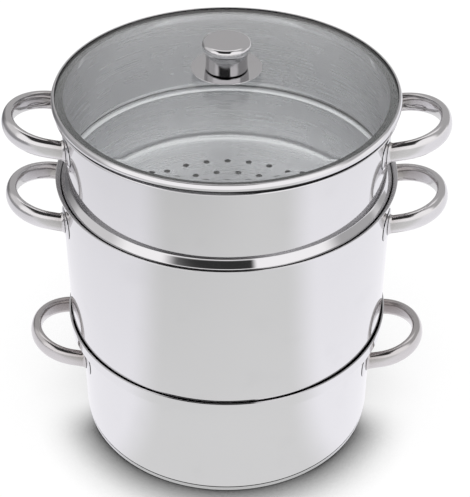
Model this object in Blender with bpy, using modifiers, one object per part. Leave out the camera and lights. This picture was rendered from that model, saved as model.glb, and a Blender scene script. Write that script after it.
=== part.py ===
"""Three-tier stove-top steam juicer with a glass lid, at its real size in metres.

The water pan stands on the origin with +Z up. The juice collector stands in the
pan's collar, the steamer basket hangs in the collector's mouth on a pressed bead,
and the lid rests on the basket's flange. Each tier is modelled in its own frame,
with height zero at the face that it rests on.
"""
import math

import bmesh
import bpy
from mathutils import Matrix, Vector

# How finely round pieces are faceted
POT_STEPS = 48
KNOB_STEPS = 20
SPOUT_STEPS = 16
TRIM_STEPS = 120
CORNER_STEPS = 2
DOME_STEPS = 4
LOOP_STEPS = 12
HOLE_SIDES = 6
NUT_SIDES = 6
SHARP_ANGLE = math.radians(35)

# Sheet metal and the gaps between pieces that touch
SHEET = 0.0008
SEAT_GAP = 0.0003
CUT_OVERRUN = 0.002
MERGE_DISTANCE = 0.00001

# Juice collector, whose radius sets those of the tiers above and below it
COLLECTOR_RADIUS = 0.130
COLLECTOR_HEIGHT = 0.1387
COLLECTOR_CORNER = 0.004
COLLECTOR_RIM_REACH = 0.004
COLLECTOR_RIM_DROP = 0.0028

# Water pan
COLLAR_CLEARANCE = 0.0010
COLLAR_HEIGHT = 0.0113
COLLAR_RADIUS = COLLECTOR_RADIUS + COLLAR_CLEARANCE + SHEET
LEDGE_HEIGHT = 0.095
LEDGE_WIDTH = 0.0088
LEDGE_CORNER = 0.0014
PAN_RADIUS = COLLAR_RADIUS - LEDGE_WIDTH
PAN_HEIGHT = LEDGE_HEIGHT + COLLAR_HEIGHT
PAN_CORNER = 0.0016
PAN_HEM_THICKNESS = 0.0006
PAN_HEM_HEIGHT = 0.0024

# Heat-spreading base under the water pan
BASE_INSET = 0.002
BASE_CORNER = 0.0012
BASE_SHEET = 0.0006
CORE_THICKNESS = 0.003

# Steamer basket
BASKET_INSET = 0.005
BASKET_RADIUS = COLLECTOR_RADIUS - BASKET_INSET
BASKET_ABOVE_BEAD = 0.0697
BASKET_BELOW_BEAD = 0.0508
BASKET_CORNER = 0.008
BEAD_OVERHANG = 0.0006
BEAD_NOSE_HEIGHT = 0.0036
BEAD_SHOULDER_RISE = 0.0073
BEAD_UNDERSIDE_FALL = 0.0028
FLANGE_REACH = 0.0058
FLANGE_DROP = 0.0032
FLANGE_CORNER = 0.0018

# Steam funnel that stands over the hole in the collector's floor
FUNNEL_BASE_RADIUS = 0.050
FUNNEL_MOUTH_RADIUS = 0.022
FUNNEL_HEADROOM = 0.0131
FUNNEL_FLANGE = 0.008
FUNNEL_MOUTH_LIP = 0.002

# Holes in the basket's floor, in rings round a solid middle that stands over the funnel
HOLE_RADIUS = 0.0027
HOLE_PITCH = 0.0175
HOLE_MARGIN = 0.020
FIRST_HOLE_RING = 1 + int(FUNNEL_MOUTH_RADIUS / HOLE_PITCH)
LAST_HOLE_RING = int((BASKET_RADIUS - BASKET_CORNER - HOLE_MARGIN) / HOLE_PITCH)

# Juice spout through the back of the collector
SPOUT_BORE_RADIUS = 0.005
SPOUT_TUBE_WALL = 0.0015
SPOUT_AXIS_HEIGHT = 0.026
SPOUT_LENGTH = 0.038
SPOUT_SHOULDER_RADIUS = 0.011
SPOUT_SHOULDER_THICKNESS = 0.002
SPOUT_BARB_HEIGHT = 0.001
SPOUT_BARB_LENGTH = 0.005
SPOUT_HOLE_CLEARANCE = 0.0004
SPOUT_THREAD_RUN = 0.0075
SEAL_THICKNESS = 0.0015
LOCK_NUT_RADIUS = 0.0105
LOCK_NUT_THICKNESS = 0.003

# Glass lid with its steel band
BAND_OVERHANG = 0.0012
BAND_SHEET = 0.0005
BAND_LIP = 0.0026
SKIRT_CLEARANCE = 0.0012
SKIRT_DROP = 0.005
GLASS_THICKNESS = 0.003
GLASS_RISE = 0.0149
GLASS_HOLE_RADIUS = 0.0045

# Lid knob and what holds it to the glass
SAUCER_RADIUS = 0.0265
SAUCER_WELL_RADIUS = 0.016
SAUCER_RISE = 0.0014
SAUCER_SHEET = 0.0006
KNOB_SHEET = 0.0008
KNOB_FOOT_RADIUS = 0.0158
KNOB_FOOT_ROUND = 0.0024
KNOB_WAIST_RADIUS = 0.0154
KNOB_WAIST_RISE = 0.0085
KNOB_WAIST_ROUND = 0.03
KNOB_HEIGHT = 0.0229
KNOB_CAP_RADIUS = 0.01825
KNOB_CAP_ROUND = 0.0032
KNOB_CAP_TUCK_HEIGHT = 0.0014
KNOB_CAP_SKIRT = 0.0064
KNOB_CAP_TUCK = 0.0004
KNOB_CAP_CLEARANCE = 0.00045
KNOB_CAP_OVERLAP = 0.0011
INSERT_RADIUS = 0.006
SCREW_RADIUS = 0.0025
SCREW_CLEARANCE = 0.0004
SCREW_ENGAGEMENT = 0.012
SCREW_HEAD_RADIUS = 0.0055
SCREW_HEAD_HEIGHT = 0.0028
SCREW_SLOT_WIDTH = 0.0012
SCREW_SLOT_DEPTH = 0.0012
SEAL_WASHER_RADIUS = 0.009
SEAL_WASHER_THICKNESS = 0.001
STEEL_WASHER_RADIUS = 0.0075
STEEL_WASHER_THICKNESS = 0.001

# Loop handles and the plates that weld them to the walls
HANDLE_WIDTH = 0.009
HANDLE_HEIGHT = 0.0157
HANDLE_SPREAD = 0.069
HANDLE_TILT = math.radians(11)
PAN_HANDLE_REACH = 0.0461
PAN_HANDLE_DROP = 0.0307
COLLECTOR_HANDLE_REACH = 0.0466
COLLECTOR_HANDLE_DROP = 0.0273
BASKET_HANDLE_REACH = 0.0483
BASKET_HANDLE_DROP = 0.031
PLATE_WIDTH = 0.028
PLATE_HEIGHT = 0.022
PLATE_CORNER = 0.004
PLATE_SHEET = 0.0018
PLATE_SEGMENTS = 4

# Levels that several pieces share, each in the frame of its own tier
PAN_FLOOR_LEVEL = BASE_SHEET + SEAT_GAP + CORE_THICKNESS + SEAT_GAP
COLLECTOR_SEAT = LEDGE_HEIGHT + SEAT_GAP
BASKET_SEAT = COLLECTOR_SEAT + COLLECTOR_HEIGHT + SEAT_GAP
LID_SEAT = BASKET_SEAT + BASKET_ABOVE_BEAD + SEAT_GAP
BAND_RADIUS = BASKET_RADIUS + FLANGE_REACH + BAND_OVERHANG
BAND_HEIGHT = BAND_SHEET + SEAT_GAP + GLASS_THICKNESS + SEAT_GAP + BAND_SHEET
GLASS_EDGE_LEVEL = BAND_SHEET + SEAT_GAP
GLASS_TOP_LEVEL = GLASS_EDGE_LEVEL + GLASS_THICKNESS + GLASS_RISE
SAUCER_LEVEL = GLASS_TOP_LEVEL + SEAT_GAP + SEAL_WASHER_THICKNESS + SEAT_GAP
KNOB_LEVEL = SAUCER_LEVEL + SAUCER_SHEET + SEAT_GAP
GLASS_UNDER_LEVEL = GLASS_TOP_LEVEL - GLASS_THICKNESS


def clear_scene():
    """Remove every object that the file already holds."""
    for old in list(bpy.data.objects):
        bpy.data.objects.remove(old, do_unlink=True)


def new_collection(name):
    """A collection linked to the scene."""
    collection = bpy.data.collections.new(name)
    bpy.context.scene.collection.children.link(collection)
    return collection


def finish(name, colour, metallic, roughness):
    """A plain Principled material for one piece."""
    material = bpy.data.materials.new(name + "_finish")
    material.use_nodes = True
    shader = material.node_tree.nodes["Principled BSDF"]
    shader.inputs["Base Color"].default_value = (*colour, 1.0)
    shader.inputs["Metallic"].default_value = metallic
    shader.inputs["Roughness"].default_value = roughness
    return material


def polished_steel(name):
    """Mirror-polished stainless steel."""
    return finish(name, (0.78, 0.78, 0.79), 1.0, 0.06)


def brushed_steel(name):
    """Stainless steel with a satin finish."""
    return finish(name, (0.66, 0.66, 0.67), 1.0, 0.28)


def bare_aluminium(name):
    """Rolled aluminium."""
    return finish(name, (0.74, 0.75, 0.76), 1.0, 0.4)


def brass(name):
    """Turned brass."""
    return finish(name, (0.72, 0.56, 0.28), 1.0, 0.3)


def silicone(name):
    """Translucent white silicone rubber."""
    return finish(name, (0.85, 0.85, 0.83), 0.0, 0.55)


def clear_glass(name):
    """Clear tempered glass."""
    material = finish(name, (0.93, 0.96, 0.95), 0.0, 0.02)
    material.node_tree.nodes["Principled BSDF"].inputs["Transmission Weight"].default_value = 1.0
    return material


def tier_frame(name, level):
    """The empty that carries a tier's pieces, on the axis that the tier lifts along."""
    frame = bpy.data.objects.new(name, None)
    frame.location = (0.0, 0.0, level)
    PARTS.objects.link(frame)
    return frame


def add_piece(name, mesh, material, frame):
    """One named piece of the juicer, carried by its tier's frame."""
    piece = bpy.data.objects.new(name, mesh)
    piece.parent = frame
    piece.data.materials.clear()
    piece.data.materials.append(material)
    PARTS.objects.link(piece)
    return piece


def add_cutter(name, mesh, frame):
    """A shape that only cuts others."""
    cutter = bpy.data.objects.new(name, mesh)
    cutter.parent = frame
    cutter.hide_render = True
    cutter.display_type = "WIRE"
    CUTTERS.objects.link(cutter)
    return cutter


def cut(piece, cutter):
    """Take a cutter's shape out of a piece."""
    modifier = piece.modifiers.new(cutter.name, "BOOLEAN")
    modifier.operation = "DIFFERENCE"
    modifier.solver = "EXACT"
    modifier.object = cutter


def shade_round(mesh):
    """Smooth shading with crisp edges where faces meet at a sharp angle."""
    mesh.shade_smooth()
    mesh.set_sharp_from_angle(angle=SHARP_ANGLE)


def mesh_of(bm, name):
    """A mesh datablock from a bmesh, which is freed."""
    mesh = bpy.data.meshes.new(name)
    bm.to_mesh(mesh)
    bm.free()
    return mesh


def evaluated_mesh(source, name):
    """The mesh of an object or curve with its modifiers and bevel carried out."""
    bpy.context.view_layer.update()
    depsgraph = bpy.context.evaluated_depsgraph_get()
    mesh = bpy.data.meshes.new_from_object(source.evaluated_get(depsgraph))
    mesh.name = name
    return mesh


def carry_out_modifiers(piece):
    """Turn a piece's modifiers into plain mesh, so that its sharp edges can be marked."""
    piece.data = evaluated_mesh(piece, piece.name)
    piece.modifiers.clear()
    shade_round(piece.data)


def rounded(corners):
    """Points of an outline whose corners (radius, level, fillet) are rounded by their fillet."""
    points = []
    for index, (radius, level, fillet) in enumerate(corners):
        corner = Vector((radius, level))
        if fillet == 0 or index in (0, len(corners) - 1):
            points.append(corner)
            continue
        to_last = (Vector(corners[index - 1][:2]) - corner).normalized()
        to_next = (Vector(corners[index + 1][:2]) - corner).normalized()
        half_angle = to_last.angle(to_next) / 2
        centre = corner + (to_last + to_next).normalized() * (fillet / math.sin(half_angle))
        setback = fillet / math.tan(half_angle)
        start = corner + to_last * setback - centre
        turn = (corner + to_next * setback - centre).angle_signed(start)
        for step in range(CORNER_STEPS + 1):
            points.append(centre + Matrix.Rotation(turn * step / CORNER_STEPS, 2) @ start)
    return points


def sheet_outline(corners, thickness):
    """Outline of sheet metal: its outer face runs through the corners, its inner face beside them."""
    outer = rounded(corners)
    sides = [(b - a).normalized() for a, b in zip(outer, outer[1:])]
    inward = [Vector((side.y, -side.x)) for side in sides]
    inner = [outer[0] + inward[0] * thickness]
    for point, before, after in zip(outer[1:], inward, inward[1:]):
        inner.append(point + (before + after) * (thickness / (1 + before.dot(after))))
    inner.append(outer[-1] + inward[-1] * thickness)
    return outer + inner[::-1]


def turned_object(name, outline, material, frame, steps):
    """A turned piece: an outline in the XZ plane swept round +Z by a Screw modifier."""
    bm = bmesh.new()
    verts = [bm.verts.new((point[0], 0.0, point[1])) for point in outline]
    for a, b in zip(verts, verts[1:] + verts[:1]):
        if a.co.x > 0 or b.co.x > 0:
            bm.edges.new((a, b))
    piece = add_piece(name, mesh_of(bm, name), material, frame)
    screw = piece.modifiers.new("turn", "SCREW")
    screw.steps = steps
    screw.render_steps = steps
    screw.use_merge_vertices = True
    screw.merge_threshold = MERGE_DISTANCE
    carry_out_modifiers(piece)
    return piece


def cylinder_mesh(name, radius, length, sides):
    """A closed cylinder on the Z axis, half its length above and below the origin."""
    bm = bmesh.new()
    bmesh.ops.create_cone(
        bm, cap_ends=True, segments=sides, radius1=radius, radius2=radius, depth=length)
    return mesh_of(bm, name)


def ring_outline(outer_radius, inner_radius, low, high):
    """Square-edged outline of a flat ring."""
    return [(outer_radius, high), (outer_radius, low), (inner_radius, low), (inner_radius, high)]


def handle_mesh(name, wall_radius, reach):
    """A loop handle at +X: two straight legs joined by a half circle, oval in section.

    The whole loop tilts up about the line between its feet, where they meet the plates.
    """
    half_width = HANDLE_WIDTH / 2
    loop_radius = HANDLE_SPREAD / 2
    seat = math.sqrt(handle_trim_radius(wall_radius) ** 2 - loop_radius ** 2)
    centre = wall_radius + reach - half_width - loop_radius
    foot = centre_of_leg_foot(wall_radius)
    angles = [math.pi * (step / LOOP_STEPS - 0.5) for step in range(LOOP_STEPS + 1)]
    points = [(foot, -loop_radius)]
    points += [(centre + loop_radius * math.cos(a), loop_radius * math.sin(a)) for a in angles]
    points += [(foot, loop_radius)]
    curve = bpy.data.curves.new(name, "CURVE")
    curve.dimensions = "3D"
    curve.bevel_depth = half_width
    curve.bevel_resolution = 2
    curve.use_fill_caps = True
    spline = curve.splines.new("POLY")
    spline.points.add(len(points) - 1)
    for point, (x, y) in zip(spline.points, points):
        point.co = (x, y, 0.0, 1.0)
    guide = bpy.data.objects.new(name + "_guide", curve)
    CUTTERS.objects.link(guide)
    mesh = evaluated_mesh(guide, name)
    bpy.data.objects.remove(guide, do_unlink=True)
    bm = bmesh.new()
    bm.from_mesh(mesh)
    bmesh.ops.remove_doubles(bm, verts=bm.verts, dist=MERGE_DISTANCE)
    bmesh.ops.scale(bm, vec=(1.0, 1.0, HANDLE_HEIGHT / HANDLE_WIDTH), verts=bm.verts)
    tilt = Matrix.Rotation(-HANDLE_TILT, 3, "Y")
    bmesh.ops.rotate(bm, cent=(seat, 0.0, 0.0), matrix=tilt, verts=bm.verts)
    bm.to_mesh(mesh)
    bm.free()
    shade_round(mesh)
    return mesh


def handle_trim_radius(wall_radius):
    """Radius at which a handle's feet end, just outside the plates."""
    return wall_radius + SEAT_GAP + PLATE_SHEET + SEAT_GAP


def centre_of_leg_foot(wall_radius):
    """Where a leg's centre line starts, inside the wall so that the trim leaves a snug end."""
    return math.sqrt(wall_radius ** 2 - (HANDLE_SPREAD / 2) ** 2) - HANDLE_WIDTH


def plate_mesh(name, wall_radius):
    """A mounting plate at +X, curved to lie on the wall, with rounded corners."""
    face_radius = wall_radius + SEAT_GAP
    bm = bmesh.new()
    patch = bmesh.ops.create_grid(
        bm, x_segments=PLATE_SEGMENTS, y_segments=1, size=0.5,
        matrix=Matrix.Diagonal((PLATE_WIDTH, PLATE_HEIGHT, 1.0, 1.0)))["verts"]
    corners = [v for v in patch if len(v.link_edges) == 2]
    bmesh.ops.bevel(
        bm, geom=corners, offset=PLATE_CORNER, segments=CORNER_STEPS, profile=0.5,
        affect="VERTICES")
    for v in bm.verts:
        angle = v.co.x / face_radius
        v.co = (face_radius * math.cos(angle), face_radius * math.sin(angle), v.co.y)
    return mesh_of(bm, name)


def add_handles(tier, frame, wall_radius, reach, level):
    """A tier's two handles, left and right, with the plates behind them."""
    trim_radius = handle_trim_radius(wall_radius)
    trim_length = 2 * HANDLE_HEIGHT
    trim = add_cutter(
        tier + "_handle_trim", cylinder_mesh("trim", trim_radius, trim_length, TRIM_STEPS), frame)
    trim.location.z = level
    loop = handle_mesh(tier + "_handle", wall_radius, reach)
    plate = plate_mesh(tier + "_plate", wall_radius)
    leg_angle = math.asin(HANDLE_SPREAD / 2 / wall_radius)
    for side, turn, front in (("right", 0.0, -1), ("left", math.pi, 1)):
        name = "%s_handle_%s" % (tier, side)
        handle = add_piece(name, loop.copy(), polished_steel(name), frame)
        handle.location.z = level
        handle.rotation_euler.z = turn
        cut(handle, trim)
        for place, way in (("front", front), ("back", -front)):
            name = "%s_plate_%s_%s" % (tier, side, place)
            seat = add_piece(name, plate.copy(), polished_steel(name), frame)
            seat.location.z = level
            seat.rotation_euler.z = turn + way * leg_angle
            shell = seat.modifiers.new("thickness", "SOLIDIFY")
            shell.thickness = PLATE_SHEET
            shell.offset = 1.0
            carry_out_modifiers(seat)


def add_water_pan():
    """The lowest tier: the pan, its capsule base and its handles."""
    frame = tier_frame("water_pan_frame", 0.0)
    hem_radius = COLLAR_RADIUS + PAN_HEM_THICKNESS
    hem_under = PAN_HEIGHT - PAN_HEM_HEIGHT
    ledge_under = LEDGE_HEIGHT - SHEET
    hem = [(hem_radius, PAN_HEIGHT), (hem_radius, hem_under)]
    wall = sheet_outline([
        (COLLAR_RADIUS, hem_under, 0),
        (COLLAR_RADIUS, ledge_under, LEDGE_CORNER),
        (PAN_RADIUS, ledge_under, LEDGE_CORNER),
        (PAN_RADIUS, PAN_FLOOR_LEVEL, PAN_CORNER),
        (0.0, PAN_FLOOR_LEVEL, 0),
    ], SHEET)
    body = hem + wall + [(COLLAR_RADIUS - SHEET, PAN_HEIGHT)]
    turned_object("water_pan_body", body, polished_steel("water_pan_body"), frame, POT_STEPS)

    cap_radius = PAN_RADIUS - BASE_INSET
    cap_top = PAN_FLOOR_LEVEL - SEAT_GAP
    cap = sheet_outline(
        [(cap_radius, cap_top, 0), (cap_radius, 0.0, BASE_CORNER), (0.0, 0.0, 0)], BASE_SHEET)
    turned_object(
        "water_pan_base_cap", cap, brushed_steel("water_pan_base_cap"), frame, POT_STEPS)

    core_radius = cap_radius - BASE_SHEET - SEAT_GAP
    core_low = BASE_SHEET + SEAT_GAP
    core_high = core_low + CORE_THICKNESS
    core_chamfer = BASE_CORNER - BASE_SHEET
    core = [
        (0.0, core_high), (core_radius, core_high), (core_radius, core_low + core_chamfer),
        (core_radius - core_chamfer, core_low), (0.0, core_low)]
    turned_object(
        "water_pan_base_core", core, bare_aluminium("water_pan_base_core"), frame, POT_STEPS)

    add_handles(
        "water_pan", frame, PAN_RADIUS, PAN_HANDLE_REACH, LEDGE_HEIGHT - PAN_HANDLE_DROP)


def add_collector_body(frame):
    """The collector's wall and ring-shaped floor, open in the middle for the steam."""
    rim_radius = COLLECTOR_RADIUS + COLLECTOR_RIM_REACH - SHEET
    rim_under = COLLECTOR_HEIGHT - SHEET
    outline = sheet_outline([
        (rim_radius, COLLECTOR_HEIGHT - COLLECTOR_RIM_DROP, 0),
        (rim_radius, rim_under, 0),
        (COLLECTOR_RADIUS, rim_under, 0),
        (COLLECTOR_RADIUS, 0.0, COLLECTOR_CORNER),
        (FUNNEL_BASE_RADIUS, 0.0, 0),
    ], SHEET)
    name = "juice_collector_body"
    body = turned_object(name, outline, polished_steel(name), frame, POT_STEPS)
    hole_radius = SPOUT_BORE_RADIUS + SPOUT_TUBE_WALL + SPOUT_HOLE_CLEARANCE
    hole_length = 2 * (SHEET + CUT_OVERRUN)
    hole = add_cutter(
        "spout_hole", cylinder_mesh("spout_hole", hole_radius, hole_length, SPOUT_STEPS), frame)
    hole.location = (0.0, COLLECTOR_RADIUS, SPOUT_AXIS_HEIGHT)
    hole.rotation_euler.x = math.radians(90)
    cut(body, hole)


def add_steam_funnel(frame):
    """The cone that leads steam from the water pan up through the juice."""
    low = SHEET + SEAT_GAP
    high = BASKET_SEAT - COLLECTOR_SEAT - BASKET_BELOW_BEAD - FUNNEL_HEADROOM
    outline = sheet_outline([
        (FUNNEL_MOUTH_RADIUS, high, 0),
        (FUNNEL_MOUTH_RADIUS, high - FUNNEL_MOUTH_LIP, 0),
        (FUNNEL_BASE_RADIUS, low + SHEET, 0),
        (FUNNEL_BASE_RADIUS + FUNNEL_FLANGE, low + SHEET, 0),
    ], SHEET)
    turned_object(
        "steam_funnel", outline, polished_steel("steam_funnel"), frame, POT_STEPS)


def add_spout(frame):
    """The juice spout, its two seals and the lock nut, stacked along +Y through the wall."""
    tube_radius = SPOUT_BORE_RADIUS + SPOUT_TUBE_WALL
    bore = tube_radius + SPOUT_HOLE_CLEARANCE
    inner_wall = math.sqrt((COLLECTOR_RADIUS - SHEET) ** 2 - SPOUT_SHOULDER_RADIUS ** 2)
    outer_seal_low = COLLECTOR_RADIUS + SEAT_GAP
    shoulder_low = outer_seal_low + SEAL_THICKNESS + SEAT_GAP
    shoulder_high = shoulder_low + SPOUT_SHOULDER_THICKNESS
    tip = shoulder_low + SPOUT_LENGTH
    barb_radius = tube_radius + SPOUT_BARB_HEIGHT
    inner_seal_high = inner_wall - SEAT_GAP
    nut_high = inner_seal_high - SEAL_THICKNESS - SEAT_GAP
    spout = [
        (SPOUT_BORE_RADIUS, tip),
        (tube_radius, tip),
        (barb_radius, tip - SPOUT_BARB_LENGTH),
        (tube_radius, tip - SPOUT_BARB_LENGTH),
        (tube_radius, shoulder_high),
        (SPOUT_SHOULDER_RADIUS, shoulder_high),
        (SPOUT_SHOULDER_RADIUS, shoulder_low),
        (tube_radius, shoulder_low),
        (tube_radius, shoulder_low - SPOUT_THREAD_RUN - SEAL_THICKNESS),
        (SPOUT_BORE_RADIUS, shoulder_low - SPOUT_THREAD_RUN - SEAL_THICKNESS),
    ]
    outer_seal = ring_outline(
        SPOUT_SHOULDER_RADIUS, bore, outer_seal_low, outer_seal_low + SEAL_THICKNESS)
    inner_seal = ring_outline(
        SPOUT_SHOULDER_RADIUS, bore, inner_seal_high - SEAL_THICKNESS, inner_seal_high)
    stack = (
        ("juice_spout", spout, brushed_steel),
        ("spout_outer_seal", outer_seal, silicone),
        ("spout_inner_seal", inner_seal, silicone),
    )
    for name, outline, material in stack:
        piece = turned_object(name, outline, material(name), frame, SPOUT_STEPS)
        piece.location.z = SPOUT_AXIS_HEIGHT
        piece.rotation_euler.x = math.radians(-90)
    nut_name = "spout_lock_nut"
    nut_mesh = cylinder_mesh(nut_name, LOCK_NUT_RADIUS, LOCK_NUT_THICKNESS, NUT_SIDES)
    nut = add_piece(nut_name, nut_mesh, brushed_steel(nut_name), frame)
    nut_bore = add_cutter(
        "nut_bore",
        cylinder_mesh("nut_bore", bore, LOCK_NUT_THICKNESS + 2 * CUT_OVERRUN, SPOUT_STEPS), frame)
    for shape in (nut, nut_bore):
        shape.location = (0.0, nut_high - LOCK_NUT_THICKNESS / 2, SPOUT_AXIS_HEIGHT)
        shape.rotation_euler.x = math.radians(-90)
    cut(nut, nut_bore)


def add_juice_collector():
    """The middle tier: the collector with its funnel, spout and handles."""
    frame = tier_frame("juice_collector_frame", COLLECTOR_SEAT)
    add_collector_body(frame)
    add_steam_funnel(frame)
    add_spout(frame)
    add_handles(
        "juice_collector", frame, COLLECTOR_RADIUS, COLLECTOR_HANDLE_REACH,
        COLLECTOR_HEIGHT - COLLECTOR_HANDLE_DROP)


def hole_places():
    """Centres of the floor's holes, in rings round a solid middle."""
    places = []
    for ring in range(FIRST_HOLE_RING, LAST_HOLE_RING + 1):
        count = 6 * ring
        for index in range(count):
            angle = 2 * math.pi * (index + 0.5) / count
            places.append((ring * HOLE_PITCH * math.cos(angle), ring * HOLE_PITCH * math.sin(angle)))
    return places


def perforation_mesh():
    """One prism for each hole in the basket's floor."""
    bm = bmesh.new()
    for x, y in hole_places():
        bmesh.ops.create_cone(
            bm, cap_ends=True, segments=HOLE_SIDES, radius1=HOLE_RADIUS, radius2=HOLE_RADIUS,
            depth=SHEET + 2 * CUT_OVERRUN, matrix=Matrix.Translation((x, y, 0.0)))
    return mesh_of(bm, "perforation")


def merge_flat_floor(mesh):
    """Join the floor's wedges into one face above and one below, which the holes then cut."""
    bm = bmesh.new()
    bm.from_mesh(mesh)
    centres = [v for v in bm.verts if v.co.xy.length < SEAT_GAP]
    for centre in centres:
        bmesh.ops.dissolve_verts(bm, verts=[centre])
    bm.to_mesh(mesh)
    bm.free()


def add_steamer_basket():
    """The upper tier: the perforated basket and its handles."""
    frame = tier_frame("steamer_basket_frame", BASKET_SEAT)
    flange_radius = BASKET_RADIUS + FLANGE_REACH - SHEET
    flange_under = BASKET_ABOVE_BEAD - SHEET
    bead_radius = COLLECTOR_RADIUS + BEAD_OVERHANG
    mouth_radius = COLLECTOR_RADIUS - SHEET - SEAT_GAP
    floor_level = -BASKET_BELOW_BEAD
    outline = sheet_outline([
        (flange_radius, BASKET_ABOVE_BEAD - FLANGE_DROP, 0),
        (flange_radius, flange_under, 0),
        (BASKET_RADIUS, flange_under, FLANGE_CORNER),
        (BASKET_RADIUS, BEAD_SHOULDER_RISE, 0),
        (bead_radius, BEAD_NOSE_HEIGHT, 0),
        (bead_radius, 0.0, 0),
        (mouth_radius, 0.0, 0),
        (BASKET_RADIUS, -BEAD_UNDERSIDE_FALL, 0),
        (BASKET_RADIUS, floor_level, BASKET_CORNER),
        (0.0, floor_level, 0),
    ], SHEET)
    name = "steamer_basket_body"
    body = turned_object(name, outline, polished_steel(name), frame, POT_STEPS)
    merge_flat_floor(body.data)
    holes = add_cutter("floor_holes", perforation_mesh(), frame)
    holes.location.z = floor_level + SHEET / 2
    cut(body, holes)
    add_handles(
        "steamer_basket", frame, BASKET_RADIUS, BASKET_HANDLE_REACH,
        BASKET_ABOVE_BEAD - BASKET_HANDLE_DROP)


def dome_points(edge_radius, hole_radius, crown, rise):
    """Points of a shallow dome from its crown's hole out to its edge."""
    sphere = (edge_radius ** 2 + rise ** 2) / (2 * rise)
    points = []
    for step in range(DOME_STEPS + 1):
        radius = hole_radius + (edge_radius - hole_radius) * step / DOME_STEPS
        points.append((radius, crown - sphere + math.sqrt(sphere ** 2 - radius ** 2)))
    return points


def add_lid_glass(frame):
    """The domed glass, flat at its edge where the band grips it."""
    edge_radius = BAND_RADIUS - BAND_SHEET - SEAT_GAP
    dome_radius = BAND_RADIUS - BAND_LIP - SEAT_GAP
    top = dome_points(dome_radius, GLASS_HOLE_RADIUS, GLASS_TOP_LEVEL, GLASS_RISE)
    under = [(radius, level - GLASS_THICKNESS) for radius, level in top]
    edge_top = GLASS_EDGE_LEVEL + GLASS_THICKNESS
    outline = top + [(edge_radius, edge_top), (edge_radius, GLASS_EDGE_LEVEL)] + under[::-1]
    turned_object("lid_glass", outline, clear_glass("lid_glass"), frame, POT_STEPS)


def add_lid_band(frame):
    """The steel band: a channel round the glass edge and a skirt that drops into the basket."""
    skirt_outer = BASKET_RADIUS - SHEET - SKIRT_CLEARANCE
    skirt_inner = skirt_outer - BAND_SHEET
    lip_radius = BAND_RADIUS - BAND_LIP
    lip_under = BAND_HEIGHT - BAND_SHEET
    channel_wall = BAND_RADIUS - BAND_SHEET
    outline = [
        (lip_radius, BAND_HEIGHT),
        (channel_wall, BAND_HEIGHT),
        (BAND_RADIUS, BAND_HEIGHT - BAND_SHEET),
        (BAND_RADIUS, 0.0),
        (skirt_outer, 0.0),
        (skirt_outer, -SKIRT_DROP),
        (skirt_inner, -SKIRT_DROP),
        (skirt_inner, BAND_SHEET),
        (channel_wall, BAND_SHEET),
        (channel_wall, lip_under),
        (lip_radius, lip_under),
    ]
    turned_object("lid_rim_band", outline, polished_steel("lid_rim_band"), frame, POT_STEPS)


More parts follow.
